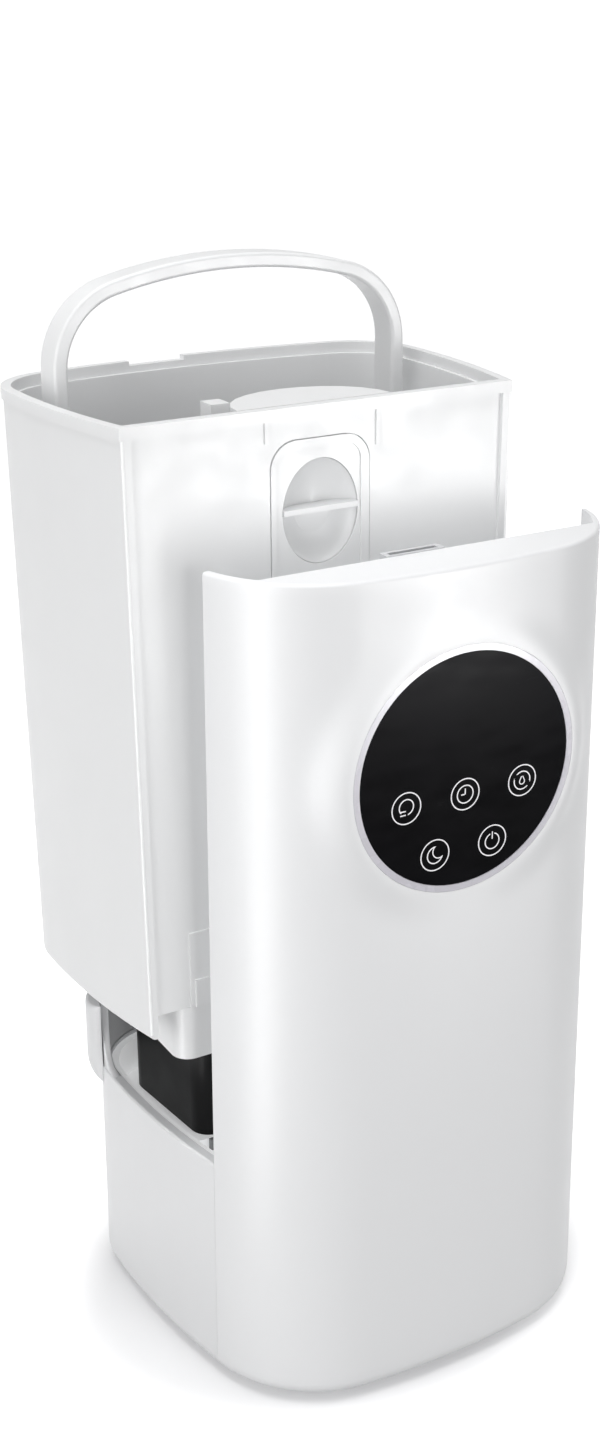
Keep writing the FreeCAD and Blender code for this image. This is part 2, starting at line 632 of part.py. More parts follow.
# Boards, their sink and the flat lead to the display
b = new_body("main_board")
box(b, "Additive", SS("8", "-44", "30"), SS("78", "10", "31.6"))
for x0, y0, w, d, t in ((14, -38, 12, 12, 14), (34, -38, 16, 10, 10), (58, -36, 12, 18, 18), (20, -14, 22, 14, 8), (52, -8, 18, 10, 12)):
    box(b, "Additive", ("%g" % x0, "%g" % y0, "31.5"), ("%g" % (x0 + w), "%g" % (y0 + d), "%g" % (31.6 + t)))
done(b)
posts = []
for i, (x, y, z) in enumerate(((12, -40, 5.5), (74, -40, 6.5), (12, 6, 5.5), (74, 6, 6.5))):
    posts.append(prim("Cylinder", "post_%d" % i, ("%g" % x, "%g" % y, "%g" % z), Radius="2.6", Height="%g" % (30 - z)))
done(boolean("MultiFuse", "board_posts", *posts))
b = new_body("mist_driver")
box(b, "Additive", SS("26", "-16", "64"), SS("66", "22", "65.6"))
box(b, "Additive", SS("32", "-10", "65.5"), SS("44", "2", "74"))
for x, y in ((29, 19), (63, 19), (29, -13)):
    cyl(b, "Additive", "2.4", "22", ("%g" % x, "%g" % y, "65.5"))
done(b)
b = new_body("heat_sink")
box(b, "Additive", SS("48", "-8", "65.7"), SS("62", "16", "68"))
for i in range(4):
    box(b, "Additive", ("%g" % (48 + 4 * i), "-8", "67.9"), ("%g" % (50 + 4 * i), "16", "80"))
done(b)
b = new_body("ribbon_lead")
box(b, "Additive", SS("-7", "-88", "34"), SS("7", "-87", "262"))
box(b, "Additive", SS("-7", "-88", "33"), SS("7", "-44.2", "34.1"))
box(b, "Additive", SS("-7", "-45.2", "33"), SS("20", "-44.2", "34.1"))
done(b)

# Cord gland in the back wall, feet, floor cover, screws
b = new_body("cord_gland")
cyl(b, "Additive", "6.95", "11", SS("66", "65.0", "24"), "Y")
cyl(b, "Additive", "9.5", "2.5", SS("66", "63.0", "24"), "Y")
cyl(b, "Additive", "9.5", "2.0", SS("66", "75.5", "24"), "Y")
cyl(b, "Subtractive", S("cord_bore_rad"), "30", SS("66", "55", "24"), "Y")
done(b)
b = new_body("floor_cover")
s = sketch(b, "cover_plan", "XY_Plane", round_rect(-61.8, -45.8, 61.8, 45.8, 7.8), S("foot_gap"))
pad(b, s, "2.5")
for i in range(8):
    box(b, "Subtractive", ("%g" % (D["fan_x"] - 20 + 5 * i), S("fan_y - 16"), "0"),
        ("%g" % (D["fan_x"] - 17.5 + 5 * i), S("fan_y + 16"), "10"))
done(b)
feet = []
for i, (x, y, rr) in enumerate(((-68, -72, 9), (68, -72, 9), (-70, 44, 9), (70, 44, 9), (0, 0, 7))):
    feet.append(prim("Cylinder", "foot_%d" % i, ("%g" % x, "%g" % y, "0"), Radius="%g" % rr, Height=S("foot_gap")))
done(boolean("MultiFuse", "rubber_feet", *feet))
scr = []
for i, (x, y) in enumerate(((-56, -40), (56, -40), (-56, 40), (56, 40))):
    scr.append(prim("Cylinder", "screw_%d" % i, ("%g" % x, "%g" % y, S("foot_gap - 1.2")), Radius="3.2", Height="1.2"))
done(boolean("MultiFuse", "cover_screws", *scr))

# ================================================================ TANK PIECES
K = D["tank_scale"]
TD = -D["tank_tall"] * math.tan(math.radians(D["tank_draft_deg"]))
TF = -D["tank_front_y"]
SK = D["tank_floor"]
FT = D["tank_floor"] + D["tank_floor_thick"]
FI = TF + D["front_step"]

DX, DH, DD = D["duct_mid_x"], D["duct_half"], D["duct_deep"]
yw = FI + 3.05


def dee(half, deep, cy):
    """Half-ellipse drawn with three tangent-like arcs on a straight chord."""
    pts = []
    for i in range(13):
        a = math.pi * i / 12
        pts.append((DX + half * math.cos(a), cy + deep * math.sin(a)))
    out = []
    for p, q in zip(pts[:-1], pts[1:]):
        out.append(("line", p[0], p[1], q[0], q[1]))
    out.append(("line", pts[-1][0], pts[-1][1], pts[0][0], pts[0][1]))
    return out


b = new_body("tank_shell")
s = sketch(b, "tank_plan", "XY_Plane", arcs(plan_arcs(TD, K)))
pad(b, s, S("tank_tall - rim_band"), S("tank_draft_deg"))
fillet_edges(b, "2", lambda e: lies_at(e, 0.0))
box(b, "Subtractive", SS("-140", "-140", "-1"), SS("140", "-tank_front_y", "300"))
# water space, drafted like the outside
s = sketch(b, "water_space", "XY_Plane", plan_part(TD - D["tank_wall"] + 0.12, K, FI + 3.0, None),
           S("tank_floor + tank_floor_thick"))
pocket(b, s, S("tank_tall"), rev=True)
# hollow under the floor, inside the skirt
s = sketch(b, "skirt_space", "XY_Plane", plan_part(TD - D["tank_wall"], K, FI + 3.0, None))
pocket(b, s, S("tank_floor"), rev=True)
# the front face is set back between two edge beads, and stops above the skirt
xb = plan_x(TF, TD, K) - D["bead_wide"]
xt = plan_x(TF, 0.0, K) - D["bead_wide"] - 0.3
s = sketch(b, "front_setback", "XZ_Plane",
           [("line", -xb, -1, xb, -1), ("line", xb, -1, xt, 300), ("line", xt, 300, -xt, 300), ("line", -xt, 300, -xb, -1)],
           S("tank_front_y + 1"))
pocket(b, s, S("front_step + 1"))
s = sketch(b, "front_foot", "XZ_Plane", rect(-xb, -1, xb, SK), S("tank_front_y + 1"))
pocket(b, s, "7")
# two shallow ledges low on the front
box(b, "Additive", SS("-68.5", "-tank_front_y + front_step - 0.9", "tank_floor"),
    SS("68.5", "-tank_front_y + front_step + 1", "46"))
box(b, "Additive", SS("-66.5", "-tank_front_y + front_step - 1.9", "tank_floor"),
    SS("66.5", "-tank_front_y + front_step + 1", "23.3"))
# the raised socket that takes the chamber block
sl, sr, sf, sb = -88.0, 11.8, -19.6, 56.8
box(b, "Additive", ("%g" % (sl - 2.4), "%g" % (sf - 2.4), S("tank_floor")),
    ("%g" % (sr + 2.4), "%g" % (sb + 2.4), S("socket_tall + 2.4")))
box(b, "Subtractive", ("%g" % sl, "%g" % sf, "-1"), ("%g" % sr, "%g" % sb, S("socket_tall")))
# seat and opening for the hatch, in the front wall
s = sketch(b, "hatch_seat", "XZ_Plane",
           round_rect(D["hatch_left"] - 0.45, D["hatch_bottom"] - 0.45, D["hatch_right"] + 0.45,
                      D["hatch_top"] + 0.45, (1, 1, D["hatch_round"], D["hatch_round"])),
           S("tank_front_y - front_step + 1"))
pocket(b, s, S("2.6"))
s = sketch(b, "hatch_hole", "XZ_Plane",
           round_rect(D["hatch_left"] + 3, D["hatch_bottom"] + 3, D["hatch_right"] - 3,
                      D["hatch_top"] - 3, (4, 4, 9, 9)), S("tank_front_y"))
pocket(b, s, S("8"))
# water way from the tank to the sump, and the mouth of the mist duct
cyl(b, "Subtractive", "10", "10", SS("valve_x", "valve_y", "tank_floor - 2"))
s = sketch(b, "duct_mouth", "XY_Plane", dee(DH - 3.0, DD - 4.0, FI + 4.6), S("tank_floor - 1"))
pocket(b, s, S("tank_floor_thick + 3"), rev=True)
done(b, tank=True)

# Rim band round the mouth, slightly proud, with a shallow notch at the back
b = new_body("tank_rim")
s = sketch(b, "band_plan", "XY_Plane", plan_part(D["rim_proud"], K, TF, None), S("tank_tall - rim_band"))
pad(b, s, S("rim_band"))
s = sketch(b, "band_mouth", "XY_Plane", plan_part(-D["tank_wall"] - 0.9, K, FI + 3.0, None), S("tank_tall + 1"))
pocket(b, s, S("rim_band + 3"))
box(b, "Subtractive", SS("-29", "50", "tank_tall - 2"), SS("-1", "90", "tank_tall + 1"))
done(b, tank=True)

# Upright duct behind the hatch, closed by a half-moon deck at rim height
b = new_body("mist_duct")
s = sketch(b, "duct_plan", "XY_Plane", dee(DH, DD, yw), S("tank_floor + tank_floor_thick"))
pad(b, s, S("tank_tall - moon_thick - tank_floor - tank_floor_thick"))
s = sketch(b, "duct_bore", "XY_Plane", dee(DH - D["duct_wall"], DD - D["duct_wall"], yw - 0.5), S("tank_floor"))
pocket(b, s, S("tank_tall"), rev=True)
done(b, tank=True)
b = new_body("duct_deck")
s = sketch(b, "moon_plan", "XY_Plane", dee(DH, DD - 0.7, yw + 0.7), S("tank_tall - moon_thick + 0.05"))
pad(b, s, S("moon_thick - 0.05"))
done(b, tank=True)
done(prim("Box", "lid_catch", ("%g" % (-41.5 + D["tank_rest_x"]), "%g" % (-37 + D["tank_rest_y"]),
                               "%g" % (D["tank_tall"] - 14 + D["tank_rest_z"])),
          Length="8.5", Width="9.6", Height="14"))
b = new_body("tank_baffle")
box(b, "Additive", SS("-90.6", "-29.4", "socket_tall + 2.5"), SS("-25.6", "-27.4", "tank_tall - 14"))
done(b, tank=True)
f1 = prim("Box", "rib_a", ("%g" % (-28.0 + D["tank_rest_x"]), "%g" % (FI - 0.9 + D["tank_rest_y"]), "%g" % (255 + D["tank_rest_z"])),
          Length="1.6", Width="0.9", Height="8.8")
f2 = prim("Box", "rib_b", ("%g" % (24.4 + D["tank_rest_x"]), "%g" % (FI - 0.9 + D["tank_rest_y"]), "%g" % (248.7 + D["tank_rest_z"])),
          Length="1.6", Width="0.9", Height="15.1")
done(boolean("MultiFuse", "front_ribs", f1, f2))

# Sump below the front of the floor, which holds the water valve
b = new_body("tank_sump")
s = sketch(b, "sump_plan", "XY_Plane",
           round_rect(-D["sump_left"], TF + 1.3, -D["sump_right"], -D["sump_back_y"], (8, 6, 5, 5)), S("-sump_deep"))
pad(b, s, S("sump_deep + tank_floor - 0.05"))
s = sketch(b, "sump_space", "XY_Plane",
           round_rect(-D["sump_left"] + 2.4, TF + 3.7, -D["sump_right"] - 2.4, -D["sump_back_y"] - 2.4, (8, 4, 3, 3)), S("tank_floor + 1"))
pocket(b, s, S("sump_deep + tank_floor - 1.6"))
cyl(b, "Subtractive", S("valve_rad + 0.05"), "10", SS("valve_x", "valve_y", "-sump_deep - 2"))
done(b, tank=True)
b = new_body("valve_seat")
cyl(b, "Additive", S("valve_rad"), "6", SS("valve_x", "valve_y", "-sump_deep"))
cyl(b, "Subtractive", "2.4", "20", SS("valve_x", "valve_y", "-sump_deep - 5"))
cyl(b, "Subtractive", "6.6", "4", SS("valve_x", "valve_y", "-sump_deep + 3.2"))
done(b, tank=True)
b = new_body("valve_plunger")
cyl(b, "Additive", "2.0", "15", SS("valve_x", "valve_y", "-sump_deep + 0.1"))
cyl(b, "Additive", "5.4", "1.6", SS("valve_x", "valve_y", "-sump_deep + 3.6"))
done(b, tank=True)
b = new_body("valve_spring")
cyl(b, "Additive", "4.4", "8", SS("valve_x", "valve_y", "-sump_deep + 5.5"))
cyl(b, "Subtractive", "3.4", "12", SS("valve_x", "valve_y", "-sump_deep + 4"))
done(b, tank=True)
b = new_body("valve_bridge")
cyl(b, "Additive", S("valve_rad - 0.2"), "2", SS("valve_x", "valve_y", "-sump_deep + 13.8"))
cyl(b, "Subtractive", "2.4", "6", SS("valve_x", "valve_y", "-sump_deep + 12"))
for a in (0, 120, 240):
    x = D["valve_x"] + 7.4 * math.cos(math.radians(a))
    y = D["valve_y"] + 7.4 * math.sin(math.radians(a))
    cyl(b, "Additive", "1.1", "8", ("%g" % x, "%g" % y, S("-sump_deep + 6.05")))
done(b, tank=True)

# Hatch: plate with an oval finger dish and a grip bar across it
b = new_body("hatch_plate")
hy = D["tank_front_y"] - D["front_step"]
s = sketch(b, "hatch_plan", "XZ_Plane",
           round_rect(D["hatch_left"], D["hatch_bottom"], D["hatch_right"], D["hatch_top"],
                      (0.8, 0.8, D["hatch_round"], D["hatch_round"])), S("tank_front_y - front_step + 0.4"))
pad(b, s, S("1.9"), rev=True)
# cup of the dish, standing back into the duct
s = sketch(b, "cup_plan", "XZ_Plane", [("ellipse", D["dish_x"], D["dish_z"], D["dish_half_x"] + 0.3, D["dish_half_z"] + 0.4)],
           S("tank_front_y - front_step - 1.4"))
pad(b, s, S("dish_deep - 1.4"), rev=True)
s = sketch(b, "field_plan", "XZ_Plane",
           round_rect(D["hatch_left"] + 2.3, D["hatch_bottom"] + 3, D["hatch_right"] - 4.0, 251.7, (2, 2, 8, 8)), S("tank_front_y - front_step + 1"))
pocket(b, s, "1.4")
s = sketch(b, "dish_plan", "XZ_Plane", [("ellipse", D["dish_x"], D["dish_z"], D["dish_half_x"], D["dish_half_z"])],
           S("tank_front_y - front_step + 1"))
pocket(b, s, S("dish_deep"))
done(b, tank=True)
b = new_body("hatch_grip")
xg = D["dish_half_x"] - 0.4
box(b, "Additive", ("%g" % (D["dish_x"] - xg), S("-tank_front_y + front_step - 0.5"), "%g" % (D["dish_z"] - 0.1)),
    ("%g" % (D["dish_x"] + xg), S("-tank_front_y + front_step + dish_deep - 1.2"), "%g" % (D["dish_z"] + 2.1)))
done(b, tank=True)
b = new_body("hatch_gasket")
s = sketch(b, "gasket_plan", "XZ_Plane",
           round_rect(D["hatch_left"] + 3.3, D["hatch_bottom"] + 3.3, D["hatch_right"] - 3.3, D["hatch_top"] - 3.3, (4, 4, 8, 8)),
           S("tank_front_y - front_step - 1.6"))
pad(b, s, "1.0", rev=True)
s = sketch(b, "gasket_hole", "XZ_Plane",
           round_rect(D["hatch_left"] + 4.2, D["hatch_bottom"] + 4.6, D["hatch_right"] - 4.2, D["hatch_top"] - 4.6, (3, 3, 7, 7)),
           S("tank_front_y"))
pocket(b, s, "9")
done(b, tank=True)

# Bail handle: flat strip bent from tangent arcs, on two pivots inside the rim
hb, bx, bz, br = D["bail_half"], D["bail_bend_x"], D["bail_bend_z"], D["bail_bend_rad"]
top_z = D["bail_top_z"]
rise = top_z - bz
rt = (bx * bx + rise * rise - br * br) / (2 * (rise - br))
zc = top_z - rt
am = math.degrees(math.atan2(bz - zc, bx))
t = D["bail_thick"]
pz = D["bail_pivot_z"]
bw = D["bail_wide"] / 2


def bail_loop(inset):
    h2, r2, rt2 = hb - inset, br - inset, rt - inset
    return h2, r2, rt2


h1, r1, q1 = bail_loop(0)
h2, r2, q2 = bail_loop(t)
prof = [("line", h1, pz, h1, bz), ("arc", bx, bz, r1, 0, am), ("arc", 0, zc, q1, am, 180 - am),
        ("arc", -bx, bz, r1, 180 - am, 180), ("line", -h1, bz, -h1, pz), ("line", -h1, pz, -h2, pz),
        ("line", -h2, pz, -h2, bz), ("arc", -bx, bz, r2, 180 - am, 180), ("arc", 0, zc, q2, am, 180 - am),
        ("arc", bx, bz, r2, 0, am), ("line", h2, bz, h2, pz), ("line", h2, pz, h1, pz)]
b = new_body("bail_handle")
s = sketch(b, "bail_profile", "XZ_Plane", prof, S("-bail_y + bail_wide / 2"))
pad(b, s, S("bail_wide"), rev=True)
fillet_edges(b, "1.6", lambda e: abs(e.Vertexes[0].Z - e.Vertexes[-1].Z) < 90 and middle_z(e) > D["bail_pivot_z"] + 0.5
             and abs(abs(middle_y(e) - D["bail_y"]) - D["bail_wide"] / 2) < 0.01)
# rounded lower ends of the legs, bored for the pivots
cyl(b, "Additive", S("bail_wide / 2"), S("bail_thick"), SS("bail_half - bail_thick", "bail_y", "bail_pivot_z"), "X")
cyl(b, "Additive", S("bail_wide / 2"), S("bail_thick"), SS("-bail_half", "bail_y", "bail_pivot_z"), "X")
cyl(b, "Subtractive", S("pivot_rad + 0.06"), "240", SS("-120", "bail_y", "bail_pivot_z"), "X")
done(b, tank=True)
# pivots: shouldered studs on the inside of the tank's side walls
xw = plan_x(D["bail_y"], TD - D["tank_wall"] + 0.12, K) - 1.0
studs = []
for i, sgn in enumerate((-1, 1)):
    lo = D["bail_half"] - D["bail_thick"] - 1.2
    o = prim("Cylinder", "stud_%d" % i,
             ("%g" % ((lo if sgn > 0 else -xw) + D["tank_rest_x"]), S("bail_y + tank_rest_y"), S("bail_pivot_z + tank_rest_z")),
             "X", Radius=S("pivot_rad"), Height="%g" % (xw - lo))
    c = prim("Cylinder", "shoulder_%d" % i,
             ("%g" % ((D["bail_half"] + 0.35 if sgn > 0 else -xw) + D["tank_rest_x"]), S("bail_y + tank_rest_y"), S("bail_pivot_z + tank_rest_z")),
             "X", Radius="7.5", Height="%g" % (xw - D["bail_half"] - 0.35))
    studs += [o, c]
done(boolean("MultiFuse", "handle_pivots", *studs))

# ------------------------------------------------------------ check and write
doc.recompute()
bad = [o.Label for o in doc.Objects if "Invalid" in o.State or "Error" in o.State]
if bad:
    raise RuntimeError("failed objects: %s" % bad)
os.makedirs("parts", exist_ok=True)
for o in NODES:
    sh = o.Shape
    if sh.isNull() or not sh.isValid() or not sh.Solids:
        raise RuntimeError("bad shape: %s" % o.Label)
for o in NODES:
    o.Shape.exportStep("parts/%s.step" % o.Label)
    print("%-18s solids %2d volume %10.1f box %s" % (
        o.Label, len(o.Shape.Solids), o.Shape.Volume,
        [round(v, 1) for v in (o.Shape.BoundBox.XMin, o.Shape.BoundBox.YMin, o.Shape.BoundBox.ZMin,
                               o.Shape.BoundBox.XMax, o.Shape.BoundBox.YMax, o.Shape.BoundBox.ZMax)]))
print("nodes", len(NODES))
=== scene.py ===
import json
import math

import bmesh
import bpy
from mathutils import Matrix, Vector


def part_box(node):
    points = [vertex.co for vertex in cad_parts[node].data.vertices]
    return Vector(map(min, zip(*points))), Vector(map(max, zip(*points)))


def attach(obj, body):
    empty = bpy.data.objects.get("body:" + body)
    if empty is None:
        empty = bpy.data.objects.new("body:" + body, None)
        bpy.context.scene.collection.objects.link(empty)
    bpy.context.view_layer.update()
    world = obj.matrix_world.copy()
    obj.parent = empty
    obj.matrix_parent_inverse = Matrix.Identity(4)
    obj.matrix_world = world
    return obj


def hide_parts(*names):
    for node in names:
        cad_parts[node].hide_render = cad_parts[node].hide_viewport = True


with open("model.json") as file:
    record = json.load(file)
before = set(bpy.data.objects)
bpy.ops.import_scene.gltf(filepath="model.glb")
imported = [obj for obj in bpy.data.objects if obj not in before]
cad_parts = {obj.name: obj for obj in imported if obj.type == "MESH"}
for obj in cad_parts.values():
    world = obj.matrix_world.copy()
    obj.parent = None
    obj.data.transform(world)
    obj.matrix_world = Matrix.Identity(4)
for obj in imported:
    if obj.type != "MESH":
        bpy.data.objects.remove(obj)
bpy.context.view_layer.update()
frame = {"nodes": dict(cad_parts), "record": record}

NODES = frame["nodes"]
MM = 0.001


# ------------------------------------------------------------------ materials
def new_material(name):
    m = bpy.data.materials.new(name)
    m.use_nodes = True
    nt = m.node_tree
    nt.nodes.clear()
    out = nt.nodes.new("ShaderNodeOutputMaterial")
    p = nt.nodes.new("ShaderNodeBsdfPrincipled")
    nt.links.new(p.outputs["BSDF"], out.inputs["Surface"])
    co = nt.nodes.new("ShaderNodeTexCoord")
    return m, nt, p, co.outputs["Object"]


def noise(nt, vec, scale, detail=3.0, rough=0.55):
    n = nt.nodes.new("ShaderNodeTexNoise")
    n.inputs["Scale"].default_value = scale
    n.inputs["Detail"].default_value = detail
    n.inputs["Roughness"].default_value = rough
    nt.links.new(vec, n.inputs["Vector"])
    return n.outputs["Fac"]


def stretched(nt, vec, sx, sy, sz):
    mp = nt.nodes.new("ShaderNodeMapping")
    mp.inputs["Scale"].default_value = (sx, sy, sz)
    nt.links.new(vec, mp.inputs["Vector"])
    return mp.outputs["Vector"]


def ramp(nt, fac, stops):
    r = nt.nodes.new("ShaderNodeValToRGB")
    while len(r.color_ramp.elements) < len(stops):
        r.color_ramp.elements.new(0.5)
    for e, (pos, col) in zip(r.color_ramp.elements, stops):
        e.position = pos
        e.color = (*col, 1.0)
    nt.links.new(fac, r.inputs["Fac"])
    return r.outputs["Color"]


def spread(nt, fac, lo, hi):
    mr = nt.nodes.new("ShaderNodeMapRange")
    mr.inputs["From Min"].default_value = 0.3
    mr.inputs["From Max"].default_value = 0.7
    mr.inputs["To Min"].default_value = lo
    mr.inputs["To Max"].default_value = hi
    nt.links.new(fac, mr.inputs["Value"])
    return mr.outputs["Result"]


def bump(nt, height, strength, distance, normal=None):
    b = nt.nodes.new("ShaderNodeBump")
    b.inputs["Strength"].default_value = strength
    b.inputs["Distance"].default_value = distance
    nt.links.new(height, b.inputs["Height"])
    if normal is not None:
        nt.links.new(normal, b.inputs["Normal"])
    return b.outputs["Normal"]


def moulded(name, colour, vary=0.02, rough=0.4, rough_vary=0.05, grain=1500.0, grain_depth=0.00003,
            flow=0.00006, coat=0.0, coat_rough=0.1, specular=0.5, subsurface=0.0, glow=0.0):
    """Moulded plastic: faint flow shading, fine spark-erosion grain, slow waviness."""
    m, nt, p, vec = new_material(name)
    lo = tuple(max(0.0, c * (1.0 - vary)) for c in colour)
    hi = tuple(min(1.0, c * (1.0 + vary * 0.5)) for c in colour)
    tone = ramp(nt, noise(nt, stretched(nt, vec, 1.0, 1.0, 0.35), 14.0, 4.0), [(0.3, lo), (0.7, hi)])
    nt.links.new(tone, p.inputs["Base Color"])
    nt.links.new(spread(nt, noise(nt, vec, 60.0, 3.0), rough - rough_vary, rough + rough_vary), p.inputs["Roughness"])
    wave = bump(nt, noise(nt, stretched(nt, vec, 1.0, 1.0, 0.5), 22.0, 1.0, 0.4), 0.25, flow)
    nt.links.new(bump(nt, noise(nt, vec, grain, 2.0), 0.35, grain_depth, wave), p.inputs["Normal"])
    p.inputs["Coat Weight"].default_value = coat
    p.inputs["Coat Roughness"].default_value = coat_rough
    p.inputs["Specular IOR Level"].default_value = specular
    if subsurface:
        p.inputs["Subsurface Weight"].default_value = subsurface
        p.inputs["Subsurface Radius"].default_value = (0.004, 0.004, 0.004)
        p.inputs["Subsurface Scale"].default_value = 1.0
    if glow:
        # glow makes the plastic emit its own colour: painted light that brightens faces lying in shade, though the
        # plastic is no lamp
        nt.links.new(tone, p.inputs["Emission Color"])
        p.inputs["Emission Strength"].default_value = glow
    return m


def black_glass(name):
    """Back-painted black glass: deep black with a faint cool cloud and light smears."""
    m, nt, p, vec = new_material(name)
    tone = ramp(nt, noise(nt, vec, 9.0, 3.0), [(0.3, (0.0010, 0.0010, 0.0013)), (0.75, (0.0032, 0.0030, 0.0046))])
    nt.links.new(tone, p.inputs["Base Color"])
    smear = noise(nt, stretched(nt, vec, 1.0, 1.0, 3.0), 45.0, 4.0)
    nt.links.new(spread(nt, smear, 0.16, 0.28), p.inputs["Roughness"])
    nt.links.new(bump(nt, noise(nt, vec, 30.0, 1.0), 0.1, 0.00002), p.inputs["Normal"])
    p.inputs["Specular IOR Level"].default_value = 0.02
    return m


def ink(name, colour, glow):
    """Printed legend, a little lit from behind; the print is slightly uneven."""
    m, nt, p, vec = new_material(name)
    dots = noise(nt, vec, 2600.0, 2.0)
    tone = ramp(nt, dots, [(0.25, tuple(c * 0.78 for c in colour)), (0.7, colour)])
    nt.links.new(tone, p.inputs["Base Color"])
    nt.links.new(tone, p.inputs["Emission Color"])
    p.inputs["Emission Strength"].default_value = glow
    nt.links.new(spread(nt, dots, 0.4, 0.6), p.inputs["Roughness"])
    nt.links.new(bump(nt, dots, 0.2, 0.00001), p.inputs["Normal"])
    return m


def brushed(name, colour, rough=0.32):
    m, nt, p, vec = new_material(name)
    lines = noise(nt, stretched(nt, vec, 60.0, 60.0, 1600.0), 1.0, 5.0, 0.7)
    tone = ramp(nt, lines, [(0.3, tuple(c * 0.8 for c in colour)), (0.7, colour)])
    nt.links.new(tone, p.inputs["Base Color"])
    nt.links.new(spread(nt, lines, rough - 0.08, rough + 0.1), p.inputs["Roughness"])
    nt.links.new(bump(nt, lines, 0.3, 0.00002), p.inputs["Normal"])
    p.inputs["Metallic"].default_value = 1.0
    return m


def rubbery(name, colour, rough=0.7):
    m, nt, p, vec = new_material(name)
    spots = noise(nt, vec, 420.0, 4.0)
    tone = ramp(nt, spots, [(0.3, tuple(c * 0.82 for c in colour)), (0.72, colour)])
    nt.links.new(tone, p.inputs["Base Color"])
    nt.links.new(spread(nt, spots, rough - 0.08, rough + 0.1), p.inputs["Roughness"])
    nt.links.new(bump(nt, spots, 0.4, 0.00005), p.inputs["Normal"])
    return m


def circuit(name):
    """Solder mask with raised tracks."""
    m, nt, p, vec = new_material(name)
    br = nt.nodes.new("ShaderNodeTexBrick")
    br.inputs["Scale"].default_value = 240.0
    br.inputs["Mortar Size"].default_value = 0.03
    br.inputs["Color1"].default_value = (0.012, 0.075, 0.03, 1)
    br.inputs["Color2"].default_value = (0.016, 0.095, 0.04, 1)
    br.inputs["Mortar"].default_value = (0.06, 0.2, 0.08, 1)
    nt.links.new(vec, br.inputs["Vector"])
    nt.links.new(br.outputs["Color"], p.inputs["Base Color"])
    nt.links.new(spread(nt, noise(nt, vec, 90.0), 0.3, 0.42), p.inputs["Roughness"])
    nt.links.new(bump(nt, br.outputs["Fac"], 0.4, 0.00003), p.inputs["Normal"])
    return m


MAT = {
    "body_white": moulded("base_plastic", (0.815, 0.82, 0.83), 0.018, 0.42, 0.05, 1300.0, 0.00003, coat=0.05, coat_rough=0.3),
    "panel_white": moulded("panel_plastic", (0.835, 0.84, 0.85), 0.008, 0.42, 0.03, 1700.0, 0.00001, flow=0.00002),
    # tank plastic: glow=0.05 is painted light that brightens the tank front where it lies in shade behind the panel
    "tank_white": moulded("tank_plastic", (0.765, 0.77, 0.775), 0.015, 0.40, 0.05, 1200.0, 0.00003, coat=0.04, coat_rough=0.3, subsurface=0.14, glow=0.05),
    "bezel_grey": moulded("bezel_lacquer", (0.56, 0.545, 0.60), 0.03, 0.28, 0.04, 1900.0, 0.00001, coat=0.3, coat_rough=0.1),
    "dark_glass": black_glass("display_black_glass"),
    "milky_plastic": moulded("milky_plastic", (0.72, 0.75, 0.77), 0.03, 0.35, 0.05, 900.0, 0.00002, subsurface=0.2),
    "legend_grey": ink("legend_ink", (0.62, 0.61, 0.63), 0.55),
    "board_green": circuit("board_mask"),
    "vent_grey": moulded("vent_plastic", (0.60, 0.605, 0.62), 0.03, 0.45, 0.05, 1300.0, 0.00003),
    "black_plastic": moulded("black_plastic", (0.0045, 0.0045, 0.005), 0.25, 0.34, 0.06, 1400.0, 0.00003, specular=0.16),
    "soft_grey": rubbery("soft_grey_rubber", (0.27, 0.275, 0.28), 0.6),
    "steel": brushed("brushed_steel", (0.52, 0.53, 0.54)),
    "sink_metal": brushed("sink_aluminium", (0.6, 0.61, 0.62), 0.4),
    "foot_rubber": rubbery("foot_rubber", (0.03, 0.03, 0.032)),
}
slot_of = {s["node"]: s["material_slot"] for s in frame["record"]["subparts"]}
for name, ob in NODES.items():
    m = MAT[slot_of[name]]
    if not ob.material_slots:
        ob.data.materials.append(m)
    for s in ob.material_slots:
        s.material = m
# the basin and the back of the panel: the same white plastic made a little translucent, with glow=0.33 as painted
# light that lifts their shaded insides
BASIN_PAINTED_GLOW = moulded("basin_painted_glow_plastic", (0.84, 0.845, 0.85), 0.015, 0.36, 0.05, 1200.0, 0.00003, subsurface=0.12, glow=0.33)
for name in ("basin", "panel_back"):
    for s in NODES[name].material_slots:
        s.material = BASIN_PAINTED_GLOW


# -------------------------------------------------------- plan curve (metres)
FRONT_Y, SEAM_Y = -106.2, -58.9
SPEC = [(354.6, 7.59), (57.05, 77.24), (384.5, 91.64), (34.1, 170.73)]
DISC_Z, BEZEL_R, DISC_Y = 304.0, 54.6, -107.0
FOOT, TOP, GROW = 3.0, 391.4, 3.05


def chain():
    out, phi, last = [], 0.0, None
    cx, cy = 0.0, FRONT_Y + SPEC[0][0]
    for r, end in SPEC:
        if last is not None:
            sn, cs = math.sin(math.radians(phi)), -math.cos(math.radians(phi))
            cx, cy = last[0] + sn * (last[2] - r), last[1] + cs * (last[2] - r)
        last = (cx, cy, r)
        out.append((cx, cy, r, phi, end))
        phi = end
    sn, cs = math.sin(math.radians(phi)), -math.cos(math.radians(phi))
    px, py = last[0] + last[2] * sn, last[1] + last[2] * cs
    out.append((0.0, py - px / sn * cs, px / sn, phi, 180.0))
    return out


CHAIN = chain()


def plan_point(phi, off):
    """Point of the right half plan whose outward normal is phi degrees from -Y."""
    for cx, cy, r, a, b in CHAIN:
        if phi <= b:
            break
    t = math.radians(phi)
    return cx + (r + off) * math.sin(t), cy - (r + off) * math.cos(t)


def seam_phi(off):
    cx, cy, r, a, b = CHAIN[2]
    return math.degrees(math.acos((cy - SEAM_Y) / (r + off)))


def column_phis():
    """Normal angles, evenly spaced along the curve; the last is the seam."""
    vals = []
    for cx, cy, r, a, b in CHAIN[:2]:
        n = max(2, int(round(math.radians(b - a) * r / 1.6)))
        vals += [a + (b - a) * i / n for i in range(n)]
    vals.append(CHAIN[1][4])
    return vals


